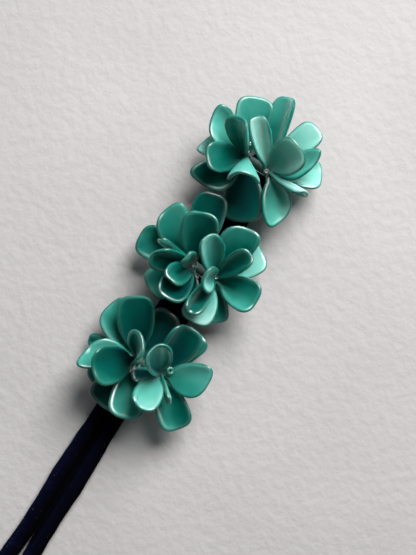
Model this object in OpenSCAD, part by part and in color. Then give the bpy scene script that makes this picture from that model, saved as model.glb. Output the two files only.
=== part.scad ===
// Flower hair stick: a long loop of padded velvet with a slit for the hair, and three pairs of
// frosted petal flowers tied along one end of it. Units are millimetres, +Z is up off the table
// that the stick's flat back rests on, and +X runs along the stick towards the flowers.

/* [Stick] */
// Length of the stick from its bare bend to its flower end
stick_len = 198; // [180:1:220]
// Width of one padded leg
leg_w = 5.2; // [4.8:0.1:6]
// Thickness of a leg, off the table
leg_t = 4.0; // [3.4:0.1:5]
// Rounding of a leg's long edges
leg_round = 1.6; // [1:0.1:1.6]
// Gap between the legs where they lie side by side
crease = 0.3; // [0.2:0.1:0.6]
// Length of the slit where the legs stand apart for the hair
slit_len = 51; // [44:1:64]
// Widest opening between the legs
slit_w = 6.4; // [5:0.1:8]

/* [Flowers] */
// Distance from one pair of flowers to the next
flower_pitch = 35; // [34:0.5:38]
// Distance from the stick's flower end to the last pair of flowers
flower_inset = 5.5; // [4:0.5:8]
// Distance between the two knots of a pair
pair_gap = 8; // [7.6:0.1:9]
// Radius of the knot that carries a flower's petals
knot_r = 3.0; // [2.6:0.1:3.0]
// Radius of the thread bound across the stick under a pair
bind_r = 1.5; // [1.2:0.1:1.5]

/* [Petals] */
// Length of a full-size petal
petal_len = 16.5; // [15:0.1:16.5]
// Width of a full-size petal
petal_w = 12.4; // [11:0.1:12.4]
// Thickness of a petal
petal_t = 1.2; // [1:0.1:1.2]
// Width of a petal where it is tied
petal_neck = 2.4; // [2:0.1:2.4]
// How soon a petal widens from its neck, from a straight-sided fan to a round spoon
petal_full = 2.2; // [1.3:0.1:2.2]
// Clearance between parts that touch
seat_gap = 0.15; // [0.1:0.05:0.2]

/* [Hidden] */
// How far the last petals reach past the stick's flower end
tip_over = 16;
// The stick's flower end and its bare end, with the whole length centred on the origin
end_x = stick_len - (stick_len + tip_over) / 2;
bare_x = end_x - stick_len;
// Distance of a leg's centre line from the middle, closed and spread
closed_y = (leg_w + crease) / 2;
open_y = (leg_w + slit_w) / 2;
// Where the slit starts, and the centre of the bare bend that closes it
slit_x = bare_x + leg_w + slit_len;
bend_x = bare_x + leg_w / 2 + open_y;
// Centre of the bend at the flower end
end_bend_x = end_x - leg_w / 2 - closed_y;
// Each leg bows out along the slit in one long arc, and this is its angle and radius
bow_a = 2 * atan((open_y - closed_y) / (slit_x - bend_x));
bow_r = (slit_x - bend_x) / sin(bow_a);
// Height of the knots' centres: a bound thread lies on the stick and carries them
knot_z = leg_t + seat_gap + knot_r + 0.2;

// The pairs of flowers: each pair's name, where it sits along the stick as a count of pitches
// from the last one, and how far it sits off the stick's middle line
PAIRS = [
    // name, pitches, off
    ["end", 0.00, 2.3],
    ["mid", -1.03, -1.0],
    ["low", -1.98, -2.6],
];

// The petals, as in a flower seen from above: heading is measured from +X, rise is the angle
// off the table, roll turns the petal about its own length, length and width are parts of a
// full-size petal, cup is how far its sides curl up, slant makes its tip longer on the right side
// (positive) or on the left (negative), and lean puts more of the cup on one of those sides
PETALS = [
    // flower, no, heading, rise, roll, length, width, cup, slant, lean
    ["end_left", 1, 22, 8, 0, 0.92, 0.94, 35, 0, 0],
    ["end_left", 2, 44, 54, -55, 0.86, 0.85, 80, 0, 0],
    ["end_left", 3, 74, 22, 10, 0.88, 0.88, 50, 0.2, 0],
    ["end_left", 4, 101, -6, 0, 0.70, 0.64, 25, -0.2, 0],
    ["end_left", 5, 129, 44, 0, 0.82, 0.76, 30, 0, 0],
    ["end_left", 6, 153, 10, 0, 0.86, 0.92, 30, 0.2, 0],
    ["end_left", 7, 203, 68, 182, 0.88, 1.00, 95, 0, 0],
    ["end_left", 8, 209, -3, 0, 1.00, 1.00, 30, 0, 0],
    ["end_right", 1, 48, 34, 0, 0.95, 0.62, 80, 0, 0],
    ["end_right", 2, 17, 8, -45, 1.20, 0.80, 50, 0, 0],
    ["end_right", 3, -17, 6, -5, 1.00, 0.74, 50, 0, 0],
    ["end_right", 4, -26, 58, 0, 0.95, 0.92, 45, 0, 0],
    ["end_right", 5, -52, 32, -15, 0.86, 0.76, 45, -0.3, 0],
    ["end_right", 6, -64, 0, -20, 0.80, 0.85, 45, 0, 0],
    ["end_right", 7, -92, 34, 100, 0.76, 0.56, 75, 0, 0],
    ["end_right", 8, -134, 10, 0, 0.84, 0.82, 50, 0.2, -0.4],
    ["mid_left", 1, 14, 4, 0, 1.18, 0.88, 25, 0, 0],
    ["mid_left", 2, 19, 37, 0, 0.98, 0.96, 50, 0, 0],
    ["mid_left", 3, 56, 16, 0, 0.98, 0.92, 35, 0.1, 0],
    ["mid_left", 4, 94, 0, 0, 0.90, 0.86, 30, 0, 0],
    ["mid_left", 5, 108, 50, -44, 0.86, 0.80, 45, 0, 0],
    ["mid_left", 6, 68, 82, 8, 0.80, 0.50, 30, 0, 0],
    ["mid_left", 7, 160, 61, 0, 0.80, 0.62, 40, 0, 0],
    ["mid_left", 8, 178, 44, 0, 0.88, 0.82, 50, 0, 0],
    ["mid_left", 9, 152, 6, 0, 0.72, 0.85, 40, 0, 0],
    ["mid_left", 10, 85, 42, 115, 0.75, 0.35, 20, 0, 0],
    ["mid_left", 11, -153, 2, 0, 0.50, 0.55, 40, 0, 0],
    ["mid_right", 1, 41, 46, 20, 0.90, 0.74, 70, 0, 0],
    ["mid_right", 2, -2, 18, 0, 0.98, 0.92, 25, 0.1, 0],
    ["mid_right", 3, -26, 43, -10, 0.86, 0.62, 70, 0, 0],
    ["mid_right", 4, -30, 0, 0, 0.82, 0.90, 30, 0, 0],
    ["mid_right", 5, -88, 24, 0, 0.78, 0.88, 40, 0, 0.5],
    ["mid_right", 6, -145, 0, 0, 0.64, 0.66, 30, 0, 0],
    ["mid_right", 7, -172, 18, 0, 0.76, 0.85, 45, 0, 0],
    ["mid_right", 8, -183, 44, 0, 0.86, 0.54, 60, 0, 0],
    ["mid_right", 9, 125, 77, -20, 0.72, 0.75, 80, 0, 0],
    ["low_left", 1, 33, 17, 0, 1.05, 0.94, 30, 0, 0],
    ["low_left", 2, 59, 0, 0, 0.98, 0.90, 30, 0.1, 0],
    ["low_left", 3, 99, -10, 0, 0.82, 0.40, 30, 0, 0],
    ["low_left", 4, 114, 18, 20, 0.92, 0.85, 50, -0.25, 0],
    ["low_left", 5, 147, -11, -8, 0.80, 0.76, 12, 0, 0],
    ["low_left", 6, 128, 50, 0, 0.95, 0.96, 30, 0, 0],
    ["low_left", 7, 8, 68, -58, 0.95, 0.95, 95, 0, 0],
    ["low_left", 8, 172, 6, 0, 0.88, 0.95, 30, 0, 0],
    ["low_left", 9, -3, 2, 0, 0.88, 0.80, 30, 0, 0],
    ["low_left", 10, 200, 23, 0, 0.95, 0.92, 40, 0, 0],
    ["low_right", 1, -1, 20, 20, 0.92, 0.96, 55, 0, 0],
    ["low_right", 2, -66, 22, 0, 0.84, 0.90, 35, -0.15, 0],
    ["low_right", 3, -128, 8, 0, 0.88, 0.86, 40, 0, 0],
    ["low_right", 4, -178, 55, 0, 0.88, 0.76, 50, 0, 0],
    ["low_right", 5, 42, 60, 32, 0.90, 0.96, 110, 0, 0],
    ["low_right", 6, -124, 48, 68, 0.55, 0.35, 20, 0, 0],
    ["low_right", 7, 124, 36, 20, 0.42, 0.41, 40, 0, 0],
    ["low_right", 8, -18, 2, 0, 0.86, 0.60, 25, 0, 0],
];

// Rows of facets from a petal's neck to its tip, and from side to side
rows_u = 6;
rows_v = 6;

function petal_node(p) = str(p[0], "_petal_", p[1]);
function core_node(pair) = str(pair[0], "_knots");

// Where a pair sits, and where each of its two knots sits
function pair_x(pair) = end_x - flower_inset + pair[1] * flower_pitch;
function knot_at(flower) = [
    for (pair = PAIRS, side = [1, -1])
        if (flower == str(pair[0], side > 0 ? "_left" : "_right"))
            [pair_x(pair), pair[2] + side * pair_gap / 2, knot_z]
][0];

// A petal's middle surface: u runs from neck to tip and v from left (-1) to right (1), the
// outline is a spoon with a rounded square tip that may slant, and the sides curl up about
// the petal's length
function fan_half(u, width) =
    petal_neck / 2 + (width - petal_neck) / 2 * (1 - pow(1 - u, petal_full));
function fan_top(v, length, slant) =
    length * (0.70 + 0.30 * pow(max(0, 1 - pow(abs(v), 3.2)), 0.42))
        * (1 + slant * v) / (1 + 0.35 * abs(slant));
function curl_deg(u, v, cup, lean) =
    max(0.1, cup * (v < 0 ? 1 - lean : 1 + lean) * (1 - 0.25 * u));
function mid_point(u, v, length, width, cup, slant, lean) =
    let (
        half = fan_half(u, width),
        curl = curl_deg(u, v, cup, lean),
        radius = half * 180 / (PI * curl)
    )
    [radius * sin(curl * v), u * fan_top(v, length, slant), radius * (1 - cos(curl * v))];

// The surface's upward normal, from neighbouring points
function normal_at(u, v, length, width, cup, slant, lean) =
    let (
        d = 0.01,
        uc = max(0.02, min(0.98, u)),
        vc = max(-0.98, min(0.98, v)),
        ahead = mid_point(min(1, u + d), vc, length, width, cup, slant, lean),
        behind = mid_point(max(0, u - d), vc, length, width, cup, slant, lean),
        right = mid_point(uc, min(1, v + d), length, width, cup, slant, lean),
        left = mid_point(uc, max(-1, v - d), length, width, cup, slant, lean),
        n = cross(right - left, ahead - behind)
    )
    n / norm(n);

// Points of one skin of a petal, the rim drawn in so that its edge is rounded
function skin(side, length, width, cup, slant, lean) = [
    for (i = [0 : rows_u], j = [0 : rows_v])
        let (
            u = i / rows_u,
            v = sin(180 * j / rows_v - 90),
            rim = i == 0 || i == rows_u || j == 0 || j == rows_v,
            off = side * petal_t / 2 * (rim ? 0.55 : 1)
        )
        mid_point(u, v, length, width, cup, slant, lean)
            + off * normal_at(u, v, length, width, cup, slant, lean)
];

function at(i, j) = i * (rows_v + 1) + j;
count = (rows_u + 1) * (rows_v + 1);
// The rim's points in order, once around the petal
RIM = concat(
    [for (j = [0 : rows_v - 1]) at(0, j)],
    [for (i = [0 : rows_u - 1]) at(i, rows_v)],
    [for (j = [rows_v : -1 : 1]) at(rows_u, j)],
    [for (i = [rows_u : -1 : 1]) at(i, 0)]
);
PETAL_FACES = concat(
    [for (i = [0 : rows_u - 1], j = [0 : rows_v - 1]) [at(i, j), at(i + 1, j + 1), at(i, j + 1)]],
    [for (i = [0 : rows_u - 1], j = [0 : rows_v - 1]) [at(i, j), at(i + 1, j), at(i + 1, j + 1)]],
    [for (i = [0 : rows_u - 1], j = [0 : rows_v - 1])
        [count + at(i, j), count + at(i, j + 1), count + at(i + 1, j + 1)]],
    [for (i = [0 : rows_u - 1], j = [0 : rows_v - 1])
        [count + at(i, j), count + at(i + 1, j + 1), count + at(i + 1, j)]],
    [for (k = [0 : len(RIM) - 1])
        [RIM[k], count + RIM[(k + 1) % len(RIM)], count + RIM[k]]],
    [for (k = [0 : len(RIM) - 1])
        [RIM[k], RIM[(k + 1) % len(RIM)], count + RIM[(k + 1) % len(RIM)]]]
);

module petal(p) {
    length = petal_len * p[5];
    width = petal_w * p[6];
    points = concat(
        skin(1, length, width, p[7], p[8], p[9]),
        skin(-1, length, width, p[7], p[8], p[9])
    );
    color("mediumaquamarine", 0.8)
        translate(knot_at(p[0]))
            rotate([0, 0, p[2] - 90])
                rotate([p[3], 0, 0])
                    rotate([0, p[4], 0])
                        translate([0, knot_r + seat_gap, 0])
                            polyhedron(points = points, faces = PETAL_FACES);
}

// Two knots and the thread bound across the stick under them
module knots(pair) {
    color("darkslategray")
        translate([pair_x(pair), pair[2], 0]) {
            for (side = [1, -1])
                translate([0, side * pair_gap / 2, knot_z])
                    sphere(r = knot_r);
            translate([0, -pair_gap / 2 - 1, leg_t + seat_gap + bind_r])
                rotate([-90, 0, 0])
                    cylinder(h = pair_gap + 2, r = bind_r);
        }
}

// Section of a leg across its length: x is across the leg and y is up
module leg_section() {
    side = leg_w / 2 - leg_round;
    for (x = [-side, side], y = [leg_round, leg_t - leg_round])
        translate([x, y])
            circle(r = leg_round);
    translate([-side, 0])
        square([2 * side, leg_t]);
    translate([-leg_w / 2, leg_round])
        square([leg_w, leg_t - 2 * leg_round]);
}

// A straight piece of leg from x0 to x1 with its centre line at y
module straight_leg(x0, x1, y) {
    translate([x0, y, 0])
        rotate([90, 0, 90])
            linear_extrude(x1 - x0)
                leg_section();
}

// A piece of leg bent in the plane of the table about a centre, from one angle over another
module bent_leg(centre, radius, from, angle) {
    translate(centre)
        rotate([0, 0, from])
            rotate_extrude(angle = angle)
                translate([radius, 0])
                    leg_section();
}

// One leg, from the flower end's bend to the bare bend
module leg() {
    straight_leg(slit_x - 1, end_bend_x, -closed_y);
    bent_leg([bend_x, bow_r - open_y, 0], bow_r, 270, bow_a);
}

module stick() {
    color("midnightblue") {
        leg();
        mirror([0, 1, 0])
            leg();
        bent_leg([end_bend_x, 0, 0], closed_y, -90, 180);
        bent_leg([bend_x, 0, 0], open_y, 90, 180);
    }
}

stick();
for (pair = PAIRS)
    knots(pair);
for (p = PETALS)
    petal(p);
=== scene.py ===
"""Looks of the flower hair stick: velvet loop, bound thread, frosted petals, pale floor."""
import math

import bpy
import numpy as np
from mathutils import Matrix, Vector


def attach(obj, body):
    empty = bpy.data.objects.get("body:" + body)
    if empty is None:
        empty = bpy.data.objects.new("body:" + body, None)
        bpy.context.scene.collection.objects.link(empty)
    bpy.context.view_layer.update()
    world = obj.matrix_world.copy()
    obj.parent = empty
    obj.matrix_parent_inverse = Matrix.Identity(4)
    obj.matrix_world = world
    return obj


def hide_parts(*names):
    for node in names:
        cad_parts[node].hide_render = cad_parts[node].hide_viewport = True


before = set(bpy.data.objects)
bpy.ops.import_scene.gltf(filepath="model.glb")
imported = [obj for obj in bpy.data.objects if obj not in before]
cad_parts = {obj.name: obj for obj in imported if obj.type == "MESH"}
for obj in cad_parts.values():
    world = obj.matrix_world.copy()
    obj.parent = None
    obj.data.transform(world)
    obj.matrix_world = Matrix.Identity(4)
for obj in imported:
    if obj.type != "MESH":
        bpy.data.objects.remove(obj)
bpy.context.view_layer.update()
MM = 0.001
RAD = math.pi / 180
PHASE = 6.28  # one turn, for random phases

# All sizes are in millimetres. The stick and the knots are as in part.scad.
STICK_LEN, TIP_OVER = 198.0, 16.0  # the loop, and the petals past its end
LEG_W, LEG_T, LEG_ROUND = 5.2, 4.0, 1.6  # a leg's width, height and corner radius
CREASE = 0.3  # between the two legs
SLIT_LEN, SLIT_W = 51.0, 6.4
END_X = STICK_LEN - (STICK_LEN + TIP_OVER) / 2
BARE_X = END_X - STICK_LEN
CLOSED_Y, OPEN_Y = (LEG_W + CREASE) / 2, (LEG_W + SLIT_W) / 2  # a leg's middle line
SLIT_X = BARE_X + LEG_W + SLIT_LEN  # where the slit ends
BEND_X = BARE_X + LEG_W / 2 + OPEN_Y  # centre of the bare bend
END_BEND_X = END_X - LEG_W / 2 - CLOSED_Y  # centre of the bend under the flowers
BOW_A = 2 * math.atan((OPEN_Y - CLOSED_Y) / (SLIT_X - BEND_X))  # the legs bow out on an arc
BOW_R = (SLIT_X - BEND_X) / math.sin(BOW_A)
PITCH, INSET, PAIR_GAP = 35.0, 5.5, 8.0  # pair to pair, end to first pair, knot to knot
KNOT_R, BIND_R, GAP = 3.0, 1.5, 0.15
KNOT_Z = LEG_T + GAP + KNOT_R + 0.2
# Each pair of flowers: pitches from the first one, and how far it sits to the side
PAIRS = {"end": (0.00, 2.3), "mid": (-1.03, -1.0), "low": (-1.98, -2.6)}

# A whole petal; each one is scaled by the table
PETAL_LEN, PETAL_W = 16.5, 12.4
BASE = 3.4  # width where it meets its knot
FULL = 2.5  # how soon it is wide
ROOT = 2.4  # how far its neck runs on into the knot
# no: heading, rise, roll, length, width, cup, slant, lean
PETALS = {
    "end_left": {
        1: (22, 8, 0, 0.92, 0.94, 35, 0, 0),
        2: (44, 54, -55, 0.86, 0.85, 80, 0, 0),
        3: (74, 22, 10, 0.88, 0.88, 50, 0.2, 0),
        4: (101, -6, 0, 0.7, 0.64, 25, -0.2, 0),
        5: (129, 44, 0, 0.82, 0.76, 30, 0, 0),
        6: (153, 10, 0, 0.86, 0.92, 30, 0.2, 0),
        7: (203, 68, 182, 0.88, 1, 95, 0, 0),
        8: (209, -3, 0, 1, 1, 30, 0, 0),
    },
    "end_right": {
        1: (48, 34, 0, 0.95, 0.62, 80, 0, 0),
        2: (17, 8, -45, 1.2, 0.8, 50, 0, 0),
        3: (-17, 6, -5, 1, 0.74, 50, 0, 0),
        4: (-26, 58, 0, 0.95, 0.92, 45, 0, 0),
        5: (-52, 32, -15, 0.86, 0.76, 45, -0.3, 0),
        6: (-64, 0, -20, 0.8, 0.85, 45, 0, 0),
        7: (-92, 34, 100, 0.76, 0.56, 75, 0, 0),
        8: (-134, 10, 0, 0.84, 0.82, 50, 0.2, -0.4),
    },
    "mid_left": {
        1: (14, 4, 0, 1.18, 0.88, 25, 0, 0),
        2: (19, 37, 0, 0.98, 0.96, 50, 0, 0),
        3: (56, 16, 0, 0.98, 0.92, 35, 0.1, 0),
        4: (94, 0, 0, 0.9, 0.86, 30, 0, 0),
        5: (108, 50, -44, 0.86, 0.8, 45, 0, 0),
        6: (68, 82, 8, 0.8, 0.5, 30, 0, 0),
        7: (160, 61, 0, 0.8, 0.62, 40, 0, 0),
        8: (178, 44, 0, 0.88, 0.82, 50, 0, 0),
        9: (152, 6, 0, 0.72, 0.85, 40, 0, 0),
        10: (85, 42, 115, 0.75, 0.35, 20, 0, 0),
        11: (-153, 2, 0, 0.5, 0.55, 40, 0, 0),
    },
    "mid_right": {
        1: (41, 46, 20, 0.9, 0.74, 70, 0, 0),
        2: (-2, 18, 0, 0.98, 0.92, 25, 0.1, 0),
        3: (-26, 43, -10, 0.86, 0.62, 70, 0, 0),
        4: (-30, 0, 0, 0.82, 0.9, 30, 0, 0),
        5: (-88, 24, 0, 0.78, 0.88, 40, 0, 0.5),
        6: (-145, 0, 0, 0.64, 0.66, 30, 0, 0),
        7: (-172, 18, 0, 0.76, 0.85, 45, 0, 0),
        8: (-183, 44, 0, 0.86, 0.54, 60, 0, 0),
        9: (125, 77, -20, 0.72, 0.75, 80, 0, 0),
    },
    "low_left": {
        1: (33, 17, 0, 1.05, 0.94, 30, 0, 0),
        2: (59, 0, 0, 0.98, 0.9, 30, 0.1, 0),
        3: (99, -10, 0, 0.82, 0.4, 30, 0, 0),
        4: (114, 18, 20, 0.92, 0.85, 50, -0.25, 0),
        5: (147, -11, -8, 0.8, 0.76, 12, 0, 0),
        6: (128, 50, 0, 0.95, 0.96, 30, 0, 0),
        7: (8, 68, -58, 0.95, 0.95, 95, 0, 0),
        8: (172, 6, 0, 0.88, 0.95, 30, 0, 0),
        9: (-3, 2, 0, 0.88, 0.8, 30, 0, 0),
        10: (200, 23, 0, 0.95, 0.92, 40, 0, 0),
    },
    "low_right": {
        1: (-1, 20, 20, 0.92, 0.96, 55, 0, 0),
        2: (-66, 22, 0, 0.84, 0.9, 35, -0.15, 0),
        3: (-128, 8, 0, 0.88, 0.86, 40, 0, 0),
        4: (-178, 55, 0, 0.88, 0.76, 50, 0, 0),
        5: (42, 60, 32, 0.9, 0.96, 110, 0, 0),
        6: (-124, 48, 68, 0.55, 0.35, 20, 0, 0),
        7: (124, 36, 20, 0.42, 0.41, 40, 0, 0),
        8: (-18, 2, 0, 0.86, 0.6, 25, 0, 0),
    },
}

# How light each petal is painted, in the order of their numbers: painted light and shade for the
# light each one catches or lets through
PETAL_LIGHT_SHADE = {
    "end_left": (0.52, 0.54, 0.68, 0.80, 0.34, 0.22, 0.70, 0.04),
    "end_right": (1.02, 0.54, 0.80, 0.84, 0.54, 0.84, 0.88, 0.66),
    "mid_left": (0.10, 0.26, 0.45, 0.36, 0.18, 0.32, 0.26, 0.04, 0.42, 0.60, 0.12),
    "mid_right": (0.60, 0.20, 0.28, 0.78, 0.40, 0.30, 0.86, 0.16, 0.74),
    "low_left": (0.12, 0.46, 0.24, 0.60, 0.34, 0.18, 0.22, 0.04, 0.00, 0.32),
    "low_right": (0.08, 0.66, 0.42, 0.78, 0.02, 0.74, 0.00, 0.32),
}
# Petals painted lighter to one side (+ is to the right of the way it points) or to the tip, as
# painted light where light falls on them or shines through them
SIDE_AND_TIP_LIGHT = {
    "end_left_1": (-0.10, 0.0),
    "end_left_3": (-0.14, 0.0),
    "end_left_4": (-0.14, 0.0),
    "end_left_5": (0.08, -0.10),
    "end_right_2": (0.12, 0.05),
    "end_right_3": (0.0, 0.14),
    "end_right_4": (0.05, 0.14),
    "end_right_5": (-0.06, 0.14),
    "end_right_8": (-0.26, 0.05),
    "mid_left_2": (-0.18, 0.0),
    "mid_left_3": (0.24, 0.0),
    "mid_left_4": (-0.05, -0.10),
    "mid_right_1": (-0.12, 0.10),
    "mid_right_2": (-0.08, 0.12),
    "mid_right_4": (0.04, 0.12),
    "mid_right_5": (0.24, -0.08),
    "mid_right_7": (-0.12, 0.05),
    "low_left_1": (-0.12, 0.0),
    "low_left_2": (-0.20, -0.05),
    "low_left_4": (0.12, 0.0),
    "low_left_6": (-0.14, 0.06),
    "low_left_10": (0.0, 0.18),
    "low_right_2": (-0.18, -0.10),
    "low_right_3": (0.12, -0.16),
}


def knot_centre(pair, side):
    """Centre of a knot: side is 1 for the pair's left one, -1 for the right, 0 for between them."""
    pitches, off = PAIRS[pair]
    return np.array([END_X - INSET + pitches * PITCH, off + side * PAIR_GAP / 2, KNOT_Z])


def knot_at(flower):
    pair, side = flower.split("_")
    return knot_centre(pair, 1 if side == "left" else -1)


def hash_name(text):
    """A number for a name, the same in each run, to seed what is random."""
    out = 7
    for c in text:
        out = (out * 31 + ord(c)) % 100003
    return out


# ---------------------------------------------------------------- node helpers
def node_material(name):
    """A new material, its node tree, its shader and its object coordinates."""
    mat = bpy.data.materials.new(name)
    mat.use_nodes = True
    nt = mat.node_tree
    nt.nodes.clear()
    out = nt.nodes.new("ShaderNodeOutputMaterial")
    shader = nt.nodes.new("ShaderNodeBsdfPrincipled")
    nt.links.new(shader.outputs[0], out.inputs["Surface"])
    return mat, nt, shader, nt.nodes.new("ShaderNodeTexCoord").outputs["Object"]


def add(nt, kind, **values):
    """A new node. Each value is for the input of that name, or else for a setting."""
    n = nt.nodes.new(kind)
    for k, v in values.items():
        if k in n.inputs:
            n.inputs[k].default_value = v
        else:
            setattr(n, k, v)
    return n


def vertex_value(nt, name):
    """The value that attribute() put on the mesh."""
    return add(nt, "ShaderNodeAttribute", attribute_name=name).outputs["Fac"]


def noise(nt, co, **values):
    n = add(nt, "ShaderNodeTexNoise", **values)
    nt.links.new(co, n.inputs["Vector"])
    return n.outputs["Fac"]


def times_plus(nt, a, factor, b):
    n = add(nt, "ShaderNodeMath", operation="MULTIPLY_ADD")
    nt.links.new(a, n.inputs[0])
    n.inputs[1].default_value = factor
    nt.links.new(b, n.inputs[2])
    return n.outputs[0]


def ramp(nt, fac, stops):
    """Colours at places from 0 to 1."""
    n = nt.nodes.new("ShaderNodeValToRGB")
    while len(n.color_ramp.elements) > 1:
        n.color_ramp.elements.remove(n.color_ramp.elements[-1])
    n.color_ramp.elements[0].position = stops[0][0]
    n.color_ramp.elements[0].color = (*stops[0][1], 1)
    for pos, col in stops[1:]:
        e = n.color_ramp.elements.new(pos)
        e.color = (*col, 1)
    nt.links.new(fac, n.inputs["Fac"])
    return n.outputs["Color"]


def drive(nt, fac, low, high, socket):
    """Let a value from 0 to 1 drive a socket from low to high."""
    n = add(nt, "ShaderNodeMapRange")
    n.inputs["To Min"].default_value = low
    n.inputs["To Max"].default_value = high
    nt.links.new(fac, n.inputs["Value"])
    nt.links.new(n.outputs["Result"], socket)


def bump(nt, height, strength, distance, shader):
    n = add(nt, "ShaderNodeBump", Strength=strength, Distance=distance)
    nt.links.new(height, n.inputs["Height"])
    nt.links.new(n.outputs["Normal"], shader.inputs["Normal"])


def settle(shader, values):
    """Values that are the same all over the surface."""
    for name, value in values.items():
        shader.inputs[name].default_value = value


# ---------------------------------------------------------------- materials
def petal_material():
    """Frosted teal resin: light goes in and glows, the skin is satin, the lips are glossy."""
    mat, nt, b, co = node_material("petal_resin")
    cloud = noise(nt, co, Scale=130.0, Detail=2.0, Roughness=0.55)
    rim, tone_and_painted_light, lip = [vertex_value(nt, name) for name in ("rim", "tone_and_painted_light", "lip")]
    # body colour: the dark end of this ramp is painted shade and the pale mint end painted light,
    # set by each petal's painted value and a random cloud
    body = ramp(nt, times_plus(nt, cloud, 0.29, tone_and_painted_light), [
        (0.00, (0.0008, 0.046, 0.046)),
        (0.21, (0.0010, 0.095, 0.075)),
        (0.42, (0.0200, 0.212, 0.172)),
        (0.64, (0.0820, 0.358, 0.305)),
        (0.85, (0.2750, 0.560, 0.510)),
        (1.00, (0.4800, 0.670, 0.625)),
    ])
    # painted shade: a darker teal along the outline, for the rim going dark; inputs 6 and 7 and
    # output 2 are the colours of a mix node
    edge = add(nt, "ShaderNodeMix", data_type="RGBA")
    nt.links.new(rim, edge.inputs["Factor"])
    nt.links.new(body, edge.inputs[6])
    edge.inputs[7].default_value = (0.0010, 0.085, 0.065, 1)
    nt.links.new(edge.outputs[2], b.inputs["Base Color"])
    tooth = noise(nt, co, Scale=2400.0, Detail=2.0, Roughness=0.6)
    bump(nt, tooth, 0.12, 0.00008, b)
    drive(nt, cloud, 0.32, 0.44, b.inputs["Roughness"])
    drive(nt, rim, 0.45, 0.10, b.inputs["Transmission Weight"])
    drive(nt, lip, 0.01, 1.0, b.inputs["Coat Weight"])
    settle(b, {
        "Subsurface Weight": 1.0,
        "Subsurface Radius": (0.20, 1.0, 0.90),
        "Subsurface Scale": 0.0018,
        "Specular IOR Level": 0.06,
        "Specular Tint": (0.20, 0.85, 0.70, 1),
        "IOR": 1.20,
        "Coat Roughness": 0.33,
        "Coat IOR": 1.75,
    })
    return mat


def velvet_material(name, sheen):
    """Short dark navy pile, mottled and nearly black, with painted light bluer to one side of each
    leg and painted shade in the crease.
    """
    mat, nt, b, co = node_material(name)
    patch = noise(nt, co, Scale=650.0, Detail=5.0, Roughness=0.75)
    col = ramp(nt, times_plus(nt, patch, 0.70, vertex_value(nt, "pile_light_and_shade")), [
        (0.22, (0.0001, 0.0001, 0.0004)),
        (0.50, (0.0004, 0.0005, 0.0030)),
        (0.80, (0.0020, 0.0026, 0.0135)),
    ])
    nt.links.new(col, b.inputs["Base Color"])
    pile = noise(nt, co, Scale=3200.0, Detail=3.0, Roughness=0.75)
    bump(nt, pile, 0.55, 0.00025, b)
    drive(nt, patch, 0.80, 1.0, b.inputs["Roughness"])
    settle(b, {
        "Specular IOR Level": 0.02,
        "Sheen Weight": sheen,
        "Sheen Roughness": 0.35,
        "Sheen Tint": (0.20, 0.26, 0.55, 1),
    })
    return mat


def thread_material():
    """Dark green sewing thread."""
    mat, nt, b, co = node_material("bound_thread")
    fibre = noise(nt, co, Scale=1500.0, Detail=4.0, Roughness=0.7)
    col = ramp(nt, fibre, [(0.3, (0.004, 0.030, 0.026)), (0.7, (0.012, 0.070, 0.058))])
    nt.links.new(col, b.inputs["Base Color"])
    bump(nt, fibre, 0.4, 0.00006, b)
    settle(b, {"Roughness": 0.55, "Sheen Weight": 0.2})
    return mat


def glass_material(name, dark, light, roughness, transmission, ior):
    """Glass or clear plastic with a little haze."""
    mat, nt, b, co = node_material(name)
    haze = noise(nt, co, Scale=900.0, Detail=2.0)
    nt.links.new(ramp(nt, haze, [(0.3, dark), (0.7, light)]), b.inputs["Base Color"])
    settle(b, {"Roughness": roughness, "Transmission Weight": transmission, "IOR": ior})
    return mat


def lint_material():
    """Pale grey fluff."""
    mat, nt, b, co = node_material("pale_lint")
    vary = noise(nt, co, Scale=420.0, Detail=1.0)
    col = ramp(nt, vary, [(0.35, (0.02, 0.02, 0.04)), (0.65, (0.16, 0.16, 0.18))])
    nt.links.new(col, b.inputs["Base Color"])
    settle(b, {"Roughness": 0.9})
    return mat


def floor_material():
    """Pale grey paper with a shallow tooth."""
    mat, nt, b, co = node_material("pale_paper")
    wide = noise(nt, co, Scale=14.0, Detail=3.0)
    col = ramp(nt, wide, [(0.3, (0.255, 0.251, 0.254)), (0.7, (0.285, 0.280, 0.281))])
    nt.links.new(col, b.inputs["Base Color"])
    tooth = noise(nt, co, Scale=330.0, Detail=3.0, Roughness=0.5)
    bump(nt, tooth, 0.55, 0.0006, b)
    settle(b, {"Roughness": 0.9, "Specular IOR Level": 0.05})
    return mat


PETAL = petal_material()
VELVET = velvet_material("navy_velvet", 0.008)
THREAD = thread_material()
LINE = glass_material("clear_line", (0.62, 0.68, 0.66), (0.82, 0.86, 0.84),
                      roughness=0.06, transmission=0.80, ior=1.5)


# ---------------------------------------------------------------- mesh helpers
def make_object(name, verts_mm, faces, mat, smooth=True):
    me = bpy.data.meshes.new(name)
    me.from_pydata((np.asarray(verts_mm) * MM).tolist(), [], [list(map(int, f)) for f in faces])
    me.validate()
    me.materials.append(mat)
    if smooth:
        me.polygons.foreach_set("use_smooth", [True] * len(me.polygons))
    me.update()
    ob = bpy.data.objects.new(name, me)
    bpy.context.collection.objects.link(ob)
    return ob


def attribute(ob, name, values):
    """A value for each vertex, which a material reads with vertex_value()."""
    a = ob.data.attributes.new(name, "FLOAT", "POINT")
    a.data.foreach_set("value", np.asarray(values, dtype=np.float32))


def grid_faces(rows, cols, wrap_rows=False, wrap_cols=False, flip=False, base=0):
    out = []
    for i in range(rows if wrap_rows else rows - 1):
        for j in range(cols if wrap_cols else cols - 1):
            i2, j2 = (i + 1) % rows, (j + 1) % cols
            f = [i * cols + j, i2 * cols + j, i2 * cols + j2, i * cols + j2]
            out.append([base + k for k in (f[::-1] if flip else f)])
    return out


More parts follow.
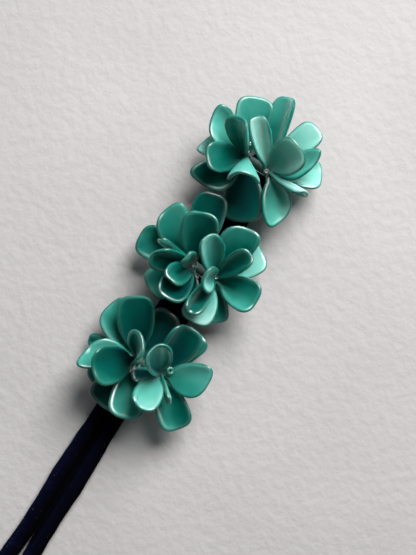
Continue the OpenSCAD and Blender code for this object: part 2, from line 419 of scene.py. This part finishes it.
def tube(points, radius, sides=6, closed=False):
    """A round tube along points, with flat ends unless it is closed."""
    pts = np.asarray(points, float)
    n = len(pts)
    tan = np.roll(pts, -1, 0) - np.roll(pts, 1, 0)
    if not closed:
        tan[0], tan[-1] = pts[1] - pts[0], pts[-1] - pts[-2]
    tan /= np.linalg.norm(tan, axis=1, keepdims=True)
    turns = [2 * math.pi * k / sides for k in range(sides)]
    ref = np.array([0.123, 0.456, 0.881])
    rings = []
    for p, t in zip(pts, tan):
        a = np.cross(t, ref)
        if np.linalg.norm(a) < 0.2:
            a = np.cross(t, [0.9, -0.3, 0.2])
        a /= np.linalg.norm(a)
        b = np.cross(t, a)
        ref = np.cross(a, t)
        rings.append([p + radius * (math.cos(q) * a + math.sin(q) * b) for q in turns])
    verts = np.array(rings).reshape(-1, 3)
    faces = grid_faces(n, sides, wrap_rows=closed, wrap_cols=True)
    if not closed:
        faces += [list(range(sides))[::-1], [(n - 1) * sides + k for k in range(sides)]]
    return verts, faces


def merge(parts):
    verts, faces, base = [], [], 0
    for v, f in parts:
        verts.append(v)
        faces += [[base + k for k in face] for face in f]
        base += len(v)
    return np.concatenate(verts), faces


# ---------------------------------------------------------------- petals
ROWS_U, ROWS_V = 32, 30  # a petal's grid, along and across
SIDE_SHARE, TIP_SHARE = 0.70, 0.30  # of its length: its sides, and its round tip
TIP_POWER, TIP_ROUND = 3.2, 0.42
HALF_T, HALF_T_RIM = 0.62, 0.66  # half its thickness, inside and near the rim
RIM_REACH = 0.98  # how far in the rim's rounding ends
RIM_W, RIM_FADE = 0.6, 0.9  # the thicker rim, and how it thins further in
LIP_FADE = 0.45  # how the gloss on that rim fades further in
OUTLINE_SHADE_FADE = 0.4  # how the painted shade along the outline fades further in
CUP_EASE, LEAST_CUP = 0.25, 0.1  # the cup opens towards the tip, and is never quite flat
ROOT_TAPER, SLANT_TRIM = 0.30, 0.35
RIPPLE = 0.20
GLOSS, GLOSS_SIDE, GLOSS_PATCHES, GLOSS_LEAST = 0.58, 0.30, 0.22, 0.05
# painted shade and light: each petal darker at the neck, where the petals crowd the centre, and
# lighter towards the tip
NECK_SHADE, TIP_LIGHT_RISE, TONE_POWER, TONE_GAIN = -0.39, 0.33, 0.9, 0.85


def mid_surface(u, v, length, width, cup, slant, lean):
    """Middle of a petal; u runs from the neck (0) to the tip (1) and, under 0, on into the knot."""
    out = np.clip(u, 0, None)
    half = BASE / 2 + (width - BASE) / 2 * (1 - (1 - np.clip(out, 0, 1)) ** FULL)
    half = half * (1 + ROOT_TAPER * np.minimum(u, 0) * length / ROOT)
    tip = np.maximum(0, 1 - np.abs(v) ** TIP_POWER) ** TIP_ROUND
    top = length * (SIDE_SHARE + TIP_SHARE * tip) * (1 + slant * v) / (1 + SLANT_TRIM * abs(slant))
    along = np.where(u < 0, u * length, u * top)
    curl = cup * np.where(v < 0, 1 - lean, 1 + lean) * (1 - CUP_EASE * out)
    curl = np.maximum(LEAST_CUP, curl) * RAD
    radius = half / curl
    return np.stack([radius * np.sin(curl * v), along, radius * (1 - np.cos(curl * v))], -1)


def grid_lines(length):
    """Where a petal's grid lines run, closer together towards the outline."""
    s = np.linspace(0, 1, ROWS_U + 1)
    in_knot = -ROOT / length * np.array([1.0, 0.66, 0.33])
    lines_v = np.sin(np.linspace(-1, 1, ROWS_V + 1) * math.pi / 2)
    return np.concatenate([in_knot, 1 - (1 - s) ** 1.7]), lines_v


def surface_normals(u, v, form, d=0.004):
    """Normals of the middle surface, measured just inside its outline."""
    vc = np.clip(v, -0.985, 0.985)
    uc = np.clip(u, 0.02, 0.98)
    more, less = np.minimum(1, v + d), np.maximum(-1, v - d)
    du = mid_surface(np.minimum(1, uc + d), vc, *form) - mid_surface(uc - d, vc, *form)
    dv = mid_surface(uc, more, *form) - mid_surface(uc, less, *form)
    n = np.cross(dv, du)
    return n / np.linalg.norm(n, axis=-1, keepdims=True)


def edge_distance(points, lines_u, lines_v, form):
    """How far each point is from the petal's outline, up one side, over the tip and down."""
    border = np.concatenate([
        mid_surface(lines_u, 0 * lines_u + 1, *form),
        mid_surface(0 * lines_v + 1, -lines_v, *form)[1:],
        mid_surface(lines_u[::-1], 0 * lines_u - 1, *form)[1:],
    ])
    start, step = border[None, :-1], np.diff(border, axis=0)[None]
    way = points.reshape(-1, 1, 3) - start
    t = np.clip((way * step).sum(-1) / (step ** 2).sum(-1), 0, 1)
    gaps = np.sqrt(((way - t[..., None] * step) ** 2).sum(-1))
    return gaps.min(1).reshape(points.shape[:-1])


def half_thickness(edge):
    """Nothing at the outline, round over the rim, a little thicker near it than inside."""
    k = np.clip(edge / RIM_REACH, 0, 1)
    full = HALF_T + (HALF_T_RIM - HALF_T) * np.exp(-(np.maximum(0, edge - RIM_W) / RIM_FADE) ** 2)
    return full * np.sqrt(np.clip(1 - (1 - k) ** 2, 0, 1))


def ripples(u, v, rng):
    """Shallow waves that grow towards the tip."""
    a, b, c = rng.uniform(0, PHASE, 3)
    w = np.clip(u, 0, 1)
    waves = np.sin(3.1 * v + a) + 0.6 * np.sin(5.3 * v + b) + 0.5 * np.sin(4 * w + c)
    return RIPPLE * w ** 2 * waves


def two_skins(rows, cols):
    """Faces of a front and a back that are one along the outline, and the points they use."""
    count = rows * cols
    faces = grid_faces(rows, cols) + grid_faces(rows, cols, flip=True, base=count)
    outline = np.ones((rows, cols), bool)
    outline[1:-1, 1:-1] = False
    flat = np.nonzero(outline.reshape(-1))[0]
    weld = np.arange(2 * count)
    weld[count + flat] = flat
    faces = [[weld[k] for k in f] for f in faces]
    used = sorted({k for f in faces for k in f})
    index = {k: i for i, k in enumerate(used)}
    return [[index[k] for k in f] for f in faces], used


def turned(heading, rise, roll):
    a, e, r = (heading - 90) * RAD, rise * RAD, roll * RAD
    rz = np.array([[math.cos(a), -math.sin(a), 0], [math.sin(a), math.cos(a), 0], [0, 0, 1]])
    rx = np.array([[1, 0, 0], [0, math.cos(e), -math.sin(e)], [0, math.sin(e), math.cos(e)]])
    ry = np.array([[math.cos(r), 0, math.sin(r)], [0, 1, 0], [-math.sin(r), 0, math.cos(r)]])
    return rz @ rx @ ry


def build_petal(flower, no, row):
    heading, rise, roll, long, wide, cup, slant, lean = row
    length = PETAL_LEN * long
    form = (length, PETAL_W * wide, cup, slant, lean)
    rng = np.random.RandomState(hash_name(flower) % 9973 + no * 131)
    lines_u, lines_v = grid_lines(length)
    u, v = np.meshgrid(lines_u, lines_v, indexing="ij")
    middle = mid_surface(u, v, *form)
    n = surface_normals(u, v, form)
    edge = edge_distance(middle, lines_u, lines_v, form)
    edge = np.minimum(edge, (u + ROOT / length) * length)
    middle = middle + n * ripples(u, v, rng)[..., None]
    swell = n * half_thickness(edge)[..., None]
    verts = np.concatenate([(middle + swell).reshape(-1, 3), (middle - swell).reshape(-1, 3)])
    verts[:, 1] += KNOT_R + GAP
    verts = verts @ turned(heading, rise, roll).T + knot_at(flower)
    faces, used = two_skins(*u.shape)
    name = f"{flower}_petal_{no}"
    ob = make_object("show_" + name, verts[used], faces, PETAL)

    def per_point(values):
        return np.concatenate([values.reshape(-1)] * 2)[used]

    # painted shade: the rim value darkens the outline's colour; it also thins the transmission
    # there
    attribute(ob, "rim", per_point(np.exp(-(edge / OUTLINE_SHADE_FADE) ** 2)))
    # painted light to one side or the tip, as listed; the other petals are lighter to one side at
    # random
    side_tone_and_light, tip_light = SIDE_AND_TIP_LIGHT.get(f"{flower}_{no}", (rng.uniform(-0.12, 0.12), 0.0))
    # the lip is glossy in patches, more to one side
    way = np.arctan2(v, u - 0.5)
    gloss = GLOSS + GLOSS_SIDE * np.sin(way + rng.uniform(0, PHASE))
    gloss = gloss + GLOSS_PATCHES * np.sin(3 * way + rng.uniform(0, PHASE))
    lip = np.exp(-(np.maximum(0, edge - RIM_W) / LIP_FADE) ** 2)
    attribute(ob, "lip", per_point(np.clip(gloss, GLOSS_LEAST, 1) * lip))
    # painted shade at the neck and painted light towards the tip, on top of the petal's listed
    # lightness
    shade = PETAL_LIGHT_SHADE[flower][no - 1] + NECK_SHADE
    shade = shade + (TIP_LIGHT_RISE + tip_light) * np.clip(u, 0, 1) ** TONE_POWER + side_tone_and_light * v
    attribute(ob, "tone_and_painted_light", TONE_GAIN * per_point(shade))
    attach(ob, "root")
    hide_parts(name)


for flower, table in PETALS.items():
    for no, row in table.items():
        build_petal(flower, no, row)


# ---------------------------------------------------------------- velvet stick
# Where the padded legs part: x from and to, then how far a leg has moved out and its slope at both.
# They part slowly at first and then catch up with the bow.
PARTING = (
    (-54.0, -42.0, 0.27, 0.0, -0.045, -0.005),
    (-66.0, -54.0, 1.637, 0.27, -0.0867, -0.045),
)
BROAD_AT = (-80, -66, -52, -20, 6, 16, 30)  # x
BROAD_BY = (0, 0.25, 0.25, 0, -0.5, -0.4, 0)  # how much wider a leg is there
PUFF, TIGHT = 0.30, 0.06  # uneven padding, and how much tighter it is on the whole
PINCH, PINCH_LEN = 0.28, 2.2  # under each knot
PRESS = 0.151  # each leg swells against the other
DOME = 0.42  # how much lower its upper side is at the sides
LIFT = 0.02  # off the floor
PILE_BLUE, PILE_SIDE_LIGHT, PILE_CREASE_SHADE = 0.12, 0.24, 0.42  # how blue all over, then painted light to one side of each leg and painted shade in the crease


def hermite(t, w, y0, y1, s0, s1):
    """A smooth curve from y0 to y1 with slopes s0 and s1 over a width w, for t from 0 to 1."""
    start = (2 * t ** 3 - 3 * t ** 2 + 1) * y0 + (t ** 3 - 2 * t ** 2 + t) * w * s0
    return start + (3 * t ** 2 - 2 * t ** 3) * y1 + (t ** 3 - t ** 2) * w * s1


def leg_path():
    """Centre line of the loop, counter-clockwise: x, y and the outward normal of each point."""
    pts = []

    def arc(cx, cy, r, a0, a1, n):
        for k in range(n):
            a = (a0 + (a1 - a0) * k / n) * RAD
            pts.append((cx + r * math.cos(a), cy + r * math.sin(a)))

    def straight(x0, x1, y, n=150):
        pts.extend((x0 + (x1 - x0) * k / n, y) for k in range(n))

    bow = math.degrees(BOW_A)
    arc(END_BEND_X, 0, CLOSED_Y, -90, 90, 14)
    straight(END_BEND_X, SLIT_X, CLOSED_Y)
    arc(BEND_X, OPEN_Y - BOW_R, BOW_R, 90 - bow, 90, 60)
    arc(BEND_X, 0, OPEN_Y, 90, 270, 28)
    arc(BEND_X, BOW_R - OPEN_Y, BOW_R, -90, -90 + bow, 60)
    straight(SLIT_X, END_BEND_X, -CLOSED_Y)
    pts = np.array(pts)
    for x0, x1, *ends in PARTING:
        t = (pts[:, 0] - x0) / (x1 - x0)
        inside = (t >= 0) & (t < 1)
        y = CLOSED_Y + hermite(t, x1 - x0, *ends)
        pts[inside, 1] = (np.sign(pts[:, 1]) * y)[inside]
    step = np.roll(pts, -1, 0) - np.roll(pts, 1, 0)
    step /= np.linalg.norm(step, axis=1, keepdims=True)
    return np.column_stack([pts, step[:, 1], -step[:, 0]])


def leg_section(n_corner=7):
    """Leg section, across (+ is away from the loop's middle) and up, with its outward normals."""
    r, w, t = LEG_ROUND, LEG_W / 2, LEG_T
    out = []
    for cx, cy, a0 in ((w - r, r, -90), (w - r, t - r, 0), (r - w, t - r, 90), (r - w, r, 180)):
        for k in range(n_corner):
            a = (a0 + 90 * k / (n_corner - 1)) * RAD
            out.append((cx + r * math.cos(a), cy + r * math.sin(a), math.cos(a), math.sin(a)))
    return np.array(out)


def smooth_noise(x, seed):
    """Waves of four lengths, from about -1 to 1."""
    rng = np.random.RandomState(seed)
    out = 0 * x
    for pace, size in ((0.11, 1.0), (0.23, 0.6), (0.47, 0.35), (0.9, 0.2)):
        out = out + size * np.sin(pace * x + rng.uniform(0, PHASE))
    return out / 1.6


def build_stick():
    """The section swept along the loop, with uneven padding, pinches and a domed upper side."""
    path, sec = leg_path(), leg_section()
    step = np.linalg.norm(np.roll(path[:, :2], -1, 0) - path[:, :2], axis=1)
    s = np.concatenate([[0], np.cumsum(step)[:-1]])
    puffs, lumps = smooth_noise(s, 5), smooth_noise(s * 1.7, 11)
    closed = np.clip((path[:, 0] - SLIT_X) / 4, 0, 1) * np.clip((END_BEND_X - path[:, 0]) / 3, 0, 1)
    broad = np.interp(path[:, 0], BROAD_AT, BROAD_BY)
    knots_x = [knot_centre(pair, 1)[0] for pair in PAIRS]
    rings = []
    for i, (x, y, nx, ny) in enumerate(path):
        pinch = sum(math.exp(-((x - kx) / PINCH_LEN) ** 2) for kx in knots_x)
        ring = []
        for a, z, na, nz in sec:
            up, outward, inward = max(0.0, nz), max(0.0, na), max(0.0, -na)
            off = (up * 0.5 + outward * 0.9) * (PUFF * puffs[i] - TIGHT)
            off -= pinch * PINCH * max(0.0, nz + 0.3)
            off += PRESS * inward * closed[i] - 0.03 * (1 - inward) + broad[i] * outward
            off -= DOME * up * abs(a / (LEG_W / 2)) ** 2
            aa = a + na * off
            zz = z + nz * off + 0.06 * lumps[i] * up * 0.5
            ring.append((x + nx * aa, y + ny * aa, LIFT if z < 1e-6 else max(LIFT, zz)))
        rings.append(ring)
    verts = np.array(rings).reshape(-1, 3)
    faces = grid_faces(len(path), len(sec), wrap_rows=True, wrap_cols=True)
    ob = make_object("velvet_loop", verts, faces, VELVET)
    # painted light and shade on the velvet: bluer to one side of each leg, darker in the crease
    across = sec[None, :, 0] / (LEG_W / 2)
    crease = np.clip((-across - 0.35) / 0.5, 0, 1) * closed[:, None]
    pile_light_and_shade = PILE_BLUE + PILE_SIDE_LIGHT * path[:, 3:4] * across - PILE_CREASE_SHADE * crease
    attribute(ob, "pile_light_and_shade", pile_light_and_shade.reshape(-1))
    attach(ob, "root")
    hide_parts("stick")
    return path, sec


PATH, SEC = build_stick()
FIBRE_R = 0.022
THIRDS = (0, 2.094, 4.189)  # of a turn


def velvet_spot(rng):
    """A random point on the loop, as its row of the path and its row of the section."""
    return PATH[rng.randint(len(PATH))], SEC[rng.randint(len(SEC))]


def in_crease(x, na):
    return na < -0.2 and x > SLIT_X


def build_fuzz(count=9000):
    """Loose pile: short fibres that stand off the velvet and break its outline."""
    rng = np.random.RandomState(21)
    verts, faces = [], []
    for _ in range(count):
        (x, y, nx, ny), (a, z, na, nz) = velvet_spot(rng)
        if z < 0.5 or in_crease(x, na):
            continue
        slide = rng.uniform(-0.6, 0.6)
        sunk = a - 0.1 * na
        base = np.array([x + nx * sunk - ny * slide, y + ny * sunk + nx * slide, z - 0.1 * nz])
        lean = np.array([rng.normal(), rng.normal(), 0.5 * rng.normal()]) * 0.6
        way = np.array([nx * na, ny * na, nz]) + lean
        way /= np.linalg.norm(way)
        # one fibre in 25 is long
        ln = rng.uniform(0.20, 0.5) if rng.rand() > 0.04 else rng.uniform(0.6, 1.2)
        side = np.cross(way, [0.3, 0.5, 0.8])
        side /= np.linalg.norm(side)
        other = np.cross(way, side)
        tip = base + way * ln
        tip[2] = max(tip[2], 0.03)
        k = len(verts)
        verts += [base + FIBRE_R * (math.cos(q) * side + math.sin(q) * other) for q in THIRDS]
        verts.append(tip)
        faces += [[k, k + 1, k + 3], [k + 1, k + 2, k + 3], [k + 2, k, k + 3], [k + 2, k + 1, k]]
    mat = velvet_material("loose_pile", 0.12)
    ob = make_object("velvet_fuzz", np.array(verts), faces, mat, smooth=False)
    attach(ob, "root")


def build_lint(count=1100):
    """Sparse pale fibres caught on the velvet's upper side."""
    rng = np.random.RandomState(8)
    parts = []
    for _ in range(count):
        (x, y, nx, ny), (a, z, na, nz) = velvet_spot(rng)
        if z < 1.6 or in_crease(x, na):
            continue
        slide = rng.uniform(-0.6, 0.6)
        at = np.array([x + nx * a - ny * slide, y + ny * a + nx * slide, z + 0.10 * nz])
        way = np.array([rng.normal(), rng.normal(), 0.15 * rng.normal()])
        way /= np.linalg.norm(way)
        ln = rng.uniform(0.08, 0.34)
        bend = np.cross(way, [0, 0, 1]) * rng.uniform(-0.3, 0.3) * ln
        parts.append(tube([at - way * ln / 2, at + bend, at + way * ln / 2], FIBRE_R, 4))
    v, f = merge(parts)
    ob = make_object("velvet_lint", v, f, lint_material(), smooth=False)
    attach(ob, "root")


# ---------------------------------------------------------------- bound thread and knots
BALL_R = 1.9  # the thread's own ball, inside the necks that meet on it
THREAD_R = 0.24
BIND_TURNS, BIND_POINTS, BIND_THREAD_R = 22, 260, 0.23


def wound_ball(centre, r, seed, turns=15):
    """A ball of thread: one strand wound round and round while its plane slowly turns."""
    rng = np.random.RandomState(seed)
    n = turns * 22
    pts = []
    a0, b0 = rng.uniform(0, PHASE, 2)
    for k in range(n):
        f = k / n
        a = 2 * math.pi * turns * f
        b = b0 + math.pi * f
        c = 0.35 * math.sin(10 * math.pi * f + a0)
        x, y, z = math.cos(a), math.sin(a) * math.cos(c), math.sin(a) * math.sin(c)
        x, y = x * math.cos(b) - y * math.sin(b), x * math.sin(b) + y * math.cos(b)
        y, z = y * math.cos(a0) - z * math.sin(a0), y * math.sin(a0) + z * math.cos(a0)
        pts.append(centre + np.array([x, y, z]) * r)
    return tube(pts, THREAD_R, 5)


def core_ball(centre, r, rows=14, cols=18):
    """What the strands are wound on."""
    pts = []
    for i in range(rows):
        t = math.pi * (i + 0.5) / rows
        for j in range(cols):
            a = 2 * math.pi * j / cols
            out = np.array([math.sin(t) * math.cos(a), math.sin(t) * math.sin(a), math.cos(t)])
            pts.append(centre + r * out)
    faces = grid_faces(rows, cols, wrap_cols=True)
    faces.append([(rows - 1) * cols + k for k in range(cols)])
    faces.append(list(range(cols))[::-1])
    return np.array(pts), faces


def build_knots(name):
    """A pair's two balls of thread, and the binding under them, wound on a straight core."""
    parts = []
    for q, side in enumerate((1, -1)):
        c = knot_centre(name, side)
        parts.append(core_ball(c, BALL_R - 0.3))
        parts.append(wound_ball(c, BALL_R - 0.16, 3 + q + hash_name(name) % 50))
    x, off = knot_centre(name, 0)[:2]
    z0 = LEG_T + GAP + BIND_R
    r = BIND_R - 0.25
    pts = []
    for k in range(BIND_POINTS):
        f = k / (BIND_POINTS - 1)
        a = 2 * math.pi * BIND_TURNS * f
        y = off + (f - 0.5) * (PAIR_GAP + 1.5)
        pts.append([x + r * math.cos(a), y, z0 + r * math.sin(a)])
    parts.append(tube(pts, BIND_THREAD_R, 5))
    pts = [[x, off + (f - 0.5) * (PAIR_GAP + 1.6), z0] for f in np.linspace(0, 1, 9)]
    parts.append(tube(pts, BIND_R - 0.4, 12))
    v, f = merge(parts)
    ob = make_object("wound_" + name + "_knots", v, f, THREAD)
    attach(ob, "root")
    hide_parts(name + "_knots")


# ---------------------------------------------------------------- clear line and beads
LINE_R = 0.11


def seed_bead(centre, axis, ring=0.42, wall=0.28):
    """A small bead: a ring that is round in section, about an axis."""
    axis = np.asarray(axis, float) / np.linalg.norm(axis)
    a = np.cross(axis, [0.2, 0.9, 0.4])
    a /= np.linalg.norm(a)
    b = np.cross(axis, a)
    turns = np.linspace(0, 2 * math.pi, 22, endpoint=False)
    pts = [centre + ring * (math.cos(q) * a + math.sin(q) * b) for q in turns]
    return tube(pts, wall, 10, closed=True)


def build_line(name):
    """Clear line that threads the petals on: arcs over the knots, a span between them, beads."""
    rng = np.random.RandomState(60 + hash_name(name) % 40)
    parts = []
    for side in (1, -1):
        if name == "low" and side == 1:
            continue  # the photograph shows none there
        c = knot_centre(name, side)
        for k in range(2):
            a = k * math.pi / 2 + rng.uniform(-0.4, 0.4)
            d = np.array([math.cos(a), math.sin(a), 0])
            span, top = rng.uniform(2.2, 2.8), rng.uniform(1.9, 2.3)
            arc = [c + d * span * math.cos(t) + np.array([0, 0, top * math.sin(t)])
                   for t in np.linspace(0.15, math.pi - 0.15, 15)]
            parts.append(tube(arc, LINE_R, 8))
        parts.append(seed_bead(c + np.array([-0.6, -0.5 * side, 2.2]), [0.3, 0.5 * side, 1.0]))
    left, right = [knot_centre(name, side) - np.array([1.8, 0, 0]) for side in (1, -1)]
    span = [left * (1 - t) + right * t + np.array([0, 0, 0.5 * math.sin(math.pi * t)])
            for t in np.linspace(0, 1, 14)]
    parts.append(tube(span, LINE_R, 8))
    if name != "low":
        parts.append(seed_bead((left + right) / 2 + np.array([-0.9, 0.3, 1.2]), [0.2, 1.0, 0.3]))
    if name == "end":
        parts.append(seed_bead(np.array([89.35, 7.14, 10.5]), [0.5, 0.3, 1.0]))
    v, f = merge(parts)
    ob = make_object("clear_line_" + name, v, f, LINE)
    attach(ob, "root")


def build_green_bead():
    """The one green bead that shows, on a petal's neck at the low pair's centre."""
    v, f = seed_bead(np.array([18.75, -8.75, 10.0]), [0.35, -0.25, 1.0], 0.84, 0.60)
    dark, light = (0.001, 0.038, 0.028), (0.006, 0.120, 0.085)
    mat = glass_material("green_bead", dark, light, roughness=0.28, transmission=0.35, ior=1.35)
    ob = make_object("green_bead", v, f, mat)
    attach(ob, "root")


build_fuzz()
build_lint()
build_green_bead()
for pair_name in PAIRS:
    build_knots(pair_name)
    build_line(pair_name)


# ---------------------------------------------------------------- floor, light, camera
def floor(size=900.0, z=-0.05):
    verts = [[-size, -size, z], [size, -size, z], [size, size, z], [-size, size, z]]
    ob = make_object("floor", np.array(verts), [[0, 1, 2, 3]], floor_material(), smooth=False)


floor()

TURN = -57.8 * RAD  # how far the picture is turned from the stick's own frame
RIGHT = np.array([math.cos(TURN), math.sin(TURN), 0])
UP = np.array([-math.sin(TURN), math.cos(TURN), 0])
LOOK = np.array([knot_at("end_left")[0] - 36.9, -3.4, 10.0])  # the middle of the picture
CAMERA_HEIGHT, CAMERA_LENS = 0.330, 69.2  # metres; mm on a sensor 36 mm wide

# name: right, up and height in metres from the picture's middle, size in metres, watts, colour
LIGHTS = {
    "key": (0.31, 0.52, 0.58, 0.54, 24.0, (1.0, 0.985, 0.96)),
    "left_fill": (-0.85, 0.45, 0.80, 1.80, 2.0, (0.95, 0.98, 1.0)),
    "low_fill": (0.10, -0.95, 0.80, 1.80, 1.0, (1, 1, 1)),
    "top_fill": (0.0, 0.0, 1.30, 2.0, 2.2, (0.95, 0.97, 1.0)),
}


def area_light(name, right, up, height, size, power, colour):
    """A soft round light, aimed at the middle of the picture."""
    data = bpy.data.lights.new(name, "AREA")
    data.shape = "DISK"
    data.size = size
    data.energy = power
    data.color = colour
    ob = bpy.data.objects.new(name, data)
    bpy.context.collection.objects.link(ob)
    aim = LOOK * MM
    at = aim + RIGHT * right + UP * up + np.array([0, 0, height])
    ob.location = at
    ob.rotation_euler = Vector([float(k) for k in aim - at]).to_track_quat("-Z", "Y").to_euler()


for light_name, light in LIGHTS.items():
    area_light(light_name, *light)

world = bpy.data.worlds.new("studio")
bpy.context.scene.world = world
world.use_nodes = True
background = world.node_tree.nodes["Background"]
background.inputs["Color"].default_value = (0.80, 0.83, 0.88, 1)
background.inputs["Strength"].default_value = 0.06

cam_data = bpy.data.cameras.new("camera")
cam_data.sensor_width = 36
cam_data.lens = CAMERA_LENS
cam_data.clip_start = 0.01
cam = bpy.data.objects.new("camera", cam_data)
bpy.context.collection.objects.link(cam)
cam.location = (LOOK[0] * MM, LOOK[1] * MM, CAMERA_HEIGHT)
cam.rotation_euler = (0, 0, TURN)
bpy.context.scene.camera = cam
bpy.context.scene.view_settings.view_transform = "Standard"
